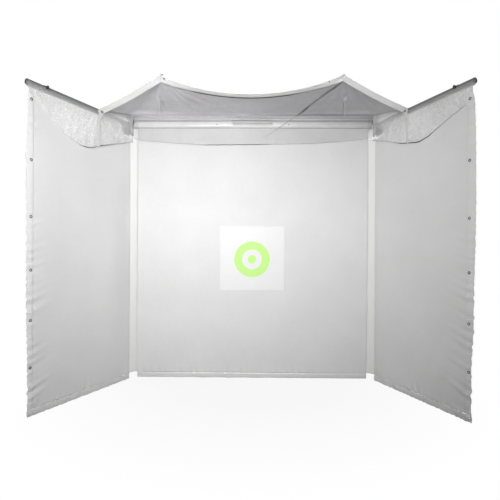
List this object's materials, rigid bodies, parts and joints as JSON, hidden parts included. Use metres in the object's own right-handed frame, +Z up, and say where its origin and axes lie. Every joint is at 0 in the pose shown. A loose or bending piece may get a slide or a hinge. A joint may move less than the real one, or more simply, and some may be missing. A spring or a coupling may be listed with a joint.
{
  "type": "ceiling hung golf hitting screen",
  "caption": "Ceiling-hung golf practice screen that rolls up into a head unit, with swing-out arms, side wings, a target patch and a ceiling net.",
  "frame": {"origin": "on the ceiling, midway between the two hanger plates", "axes": "+X to the player's right along the head unit, +Y from the player to the screen, +Z up"},
  "size_m": [3.5213, 1.2701, 2.92],
  "materials": {
    "case_aluminium": "satin anodised",
    "fascia_paint": "semi-gloss",
    "dark_metal": "satin",
    "screw_steel": "zinc plated",
    "black_plastic": "moulded",
    "arm_aluminium": "brushed anodised",
    "screen_fabric": "woven, matt",
    "wing_fabric": "woven, matt",
    "hem_fabric": "stitched",
    "strip_fabric": "brushed hook-and-loop backing",
    "patch_fabric": "woven, matt",
    "webbing": "woven tape",
    "net": "fine knotless net",
    "grommet_steel": "nickel plated"
  },
  "bodies": {
    "root": {"head_beam": "case_aluminium", "fascia_left": "fascia_paint", "fascia_right": "fascia_paint", "fascia_joint_plate": "case_aluminium", "fascia_screws": "screw_steel", "rear_cover": "case_aluminium", "end_plate_left": "dark_metal", "end_plate_right": "dark_metal", "power_gland": "black_plastic", "ceiling_plates": "screw_steel", "hanger_rods": "screw_steel", "hanger_clips": "screw_steel", "hinge_bracket_left": "dark_metal", "hinge_bracket_right": "dark_metal", "hinge_pins": "screw_steel", "hinge_screws": "screw_steel", "idler_pin": "screw_steel", "tubular_motor": "dark_metal", "net_roof": "net", "net_front_skirt": "net", "net_hem": "webbing", "net_hooks": "fascia_paint"},
    "roller": {"roller_tube": "case_aluminium", "idler_plug": "black_plastic", "idler_bearing": "screw_steel", "drive_wheel": "black_plastic", "crown_ring": "black_plastic", "screen_wrap": "screen_fabric"},
    "screen": {"screen_cloth": "screen_fabric", "screen_hem": "hem_fabric", "hem_bar": "case_aluminium", "target_patch": "patch_fabric"},
    "left_arm": {"arm_root_left": "dark_metal", "arm_tube_left": "arm_aluminium", "arm_end_left": "arm_aluminium", "arm_cap_left": "black_plastic", "lock_saddle_left": "arm_aluminium", "wing_band_left": "hem_fabric", "wing_cloth_left": "wing_fabric", "wing_outer_hem_left": "hem_fabric", "wing_bottom_hem_left": "hem_fabric", "wing_grommets_left": "grommet_steel", "corner_strip_left": "strip_fabric", "net_strap_left": "webbing", "net_side_left": "net"},
    "left_knob": {"lock_knob_left": "black_plastic"},
    "right_arm": {"arm_root_right": "dark_metal", "arm_tube_right": "arm_aluminium", "arm_end_right": "arm_aluminium", "arm_cap_right": "black_plastic", "lock_saddle_right": "arm_aluminium", "wing_band_right": "hem_fabric", "wing_cloth_right": "wing_fabric", "wing_outer_hem_right": "hem_fabric", "wing_bottom_hem_right": "hem_fabric", "wing_grommets_right": "grommet_steel", "corner_strip_right": "strip_fabric", "net_strap_right": "webbing", "net_side_right": "net"},
    "right_knob": {"lock_knob_right": "black_plastic"}
  },
  "joints": [
    {"name": "screen_lift", "type": "slide", "parent": "root", "child": "screen", "axis": [0, 0, 1], "range_m": [0, 2.54], "deforming": ["screen_cloth", "target_patch"]},
    {"name": "roller_spin", "type": "hinge", "parent": "root", "child": "roller", "pos_m": [0, -0.008, -0.222], "axis": [-1, 0, 0], "range_deg": [0, 3520]},
    {"name": "left_arm_swing", "type": "hinge", "parent": "root", "child": "left_arm", "pos_m": [-1.276, -0.108, -0.28], "axis": [0, 0, 1], "range_deg": [0, 111], "deforming": ["net_roof", "net_front_skirt", "net_hem", "net_side_left"]},
    {"name": "right_arm_swing", "type": "hinge", "parent": "root", "child": "right_arm", "pos_m": [1.276, -0.108, -0.28], "axis": [0, 0, 1], "range_deg": [-108, 0], "deforming": ["net_side_right"]},
    {"name": "left_knob_turn", "type": "hinge", "parent": "left_arm", "child": "left_knob", "pos_m": [-1.70073, -1.01884, -0.28], "axis": [0.8925, -0.4162, 0.1736], "range_deg": [0, 270]},
    {"name": "right_knob_turn", "type": "hinge", "parent": "right_arm", "child": "right_knob", "pos_m": [1.65248, -1.03982, -0.28], "axis": [-0.9131, -0.3689, 0.1736], "range_deg": [-270, 0]}
  ],
  "couplings": [
    {"joint": "roller_spin", "follows": "screen_lift", "rad_per_m": 24.1}
  ]
}
